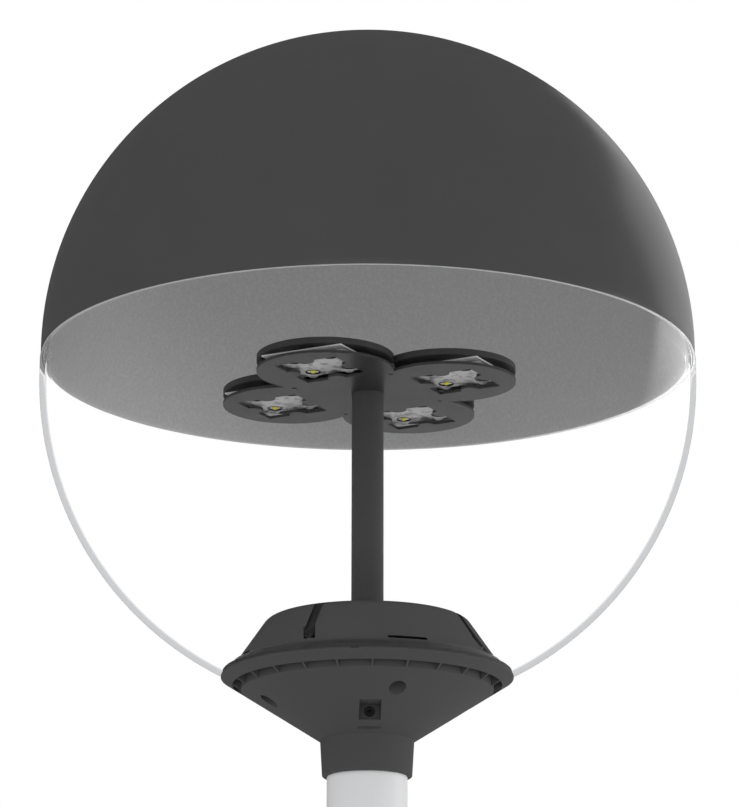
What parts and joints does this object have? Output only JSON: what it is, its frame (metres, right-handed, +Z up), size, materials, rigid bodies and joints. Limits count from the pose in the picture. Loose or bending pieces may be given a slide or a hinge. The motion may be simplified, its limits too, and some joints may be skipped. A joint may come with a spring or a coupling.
{
  "type": "globe post light",
  "caption": "Ball-shaped post lantern: dark dome over a clear bowl, four-lobed lamp head on a stem, and a cast cone base that clamps on the top of a round post.",
  "frame": {"origin": "centre of the lower end of the post section", "axes": "+Z up along the post, -Y towards the front set screw"},
  "size_m": [0.5009, 0.501, 0.7592],
  "materials": {
    "post_coat": "satin",
    "dark_coat": "fine texture",
    "plate_coat": "satin",
    "dome_coat": "fine texture",
    "reflector_white": "matt",
    "clear_glass": "clear",
    "potted_plastic": "matt",
    "black_plastic": "matt",
    "seal_rubber": "matt",
    "bright_steel": "zinc plated",
    "black_steel": "blackened",
    "board_white": "satin",
    "lamp_yellow": "satin"
  },
  "bodies": {
    "post": {"post": "post_coat"},
    "head": {"base": "dark_coat", "gear_tray": "bright_steel", "tray_screws": "bright_steel", "tray_nuts": "bright_steel", "driver": "potted_plastic", "driver_screws": "bright_steel", "terminal_block": "potted_plastic", "cable_gland": "black_plastic", "gland_nut": "black_plastic", "lid": "dark_coat", "lid_seal": "seal_rubber", "lid_screws": "bright_steel", "stem": "dark_coat", "stem_nut": "bright_steel", "stem_seal": "seal_rubber", "stem_grommets": "seal_rubber", "lamp_cable": "black_plastic", "lower_plate": "plate_coat", "upper_plate": "dark_coat", "plate_hub": "dark_coat", "plate_standoffs": "bright_steel", "plate_screws": "bright_steel", "head_nut": "bright_steel", "lamp_board_1": "board_white", "lamp_board_2": "board_white", "lamp_board_3": "board_white", "lamp_board_4": "board_white", "lamps_1": "lamp_yellow", "lamps_2": "lamp_yellow", "lamps_3": "lamp_yellow", "lamps_4": "lamp_yellow", "lens_1": "clear_glass", "lens_2": "clear_glass", "lens_3": "clear_glass", "lens_4": "clear_glass", "bowl": "clear_glass", "bowl_seal": "seal_rubber", "rim_seal": "seal_rubber"},
    "dome": {"dome": "dome_coat", "reflector": "reflector_white"},
    "screw_1": {"set_screw_1": "black_steel"},
    "screw_2": {"set_screw_2": "black_steel"},
    "screw_3": {"set_screw_3": "black_steel"}
  },
  "joints": [
    {"name": "head_turn", "type": "hinge", "parent": "post", "child": "head", "pos_m": [0, 0, 0.22], "axis": [0, 0, 1], "continuous": true},
    {"name": "dome_lift", "type": "slide", "parent": "head", "child": "dome", "axis": [0, 0, 1], "range_m": [0, 0.06]},
    {"name": "screw_1", "type": "slide", "parent": "head", "child": "screw_1", "axis": [0, -1, 0], "range_m": [0, 0.006]},
    {"name": "screw_2", "type": "slide", "parent": "head", "child": "screw_2", "axis": [0.866, 0.5, 0], "range_m": [0, 0.006]},
    {"name": "screw_3", "type": "slide", "parent": "head", "child": "screw_3", "axis": [-0.866, 0.5, 0], "range_m": [0, 0.006]}
  ]
}
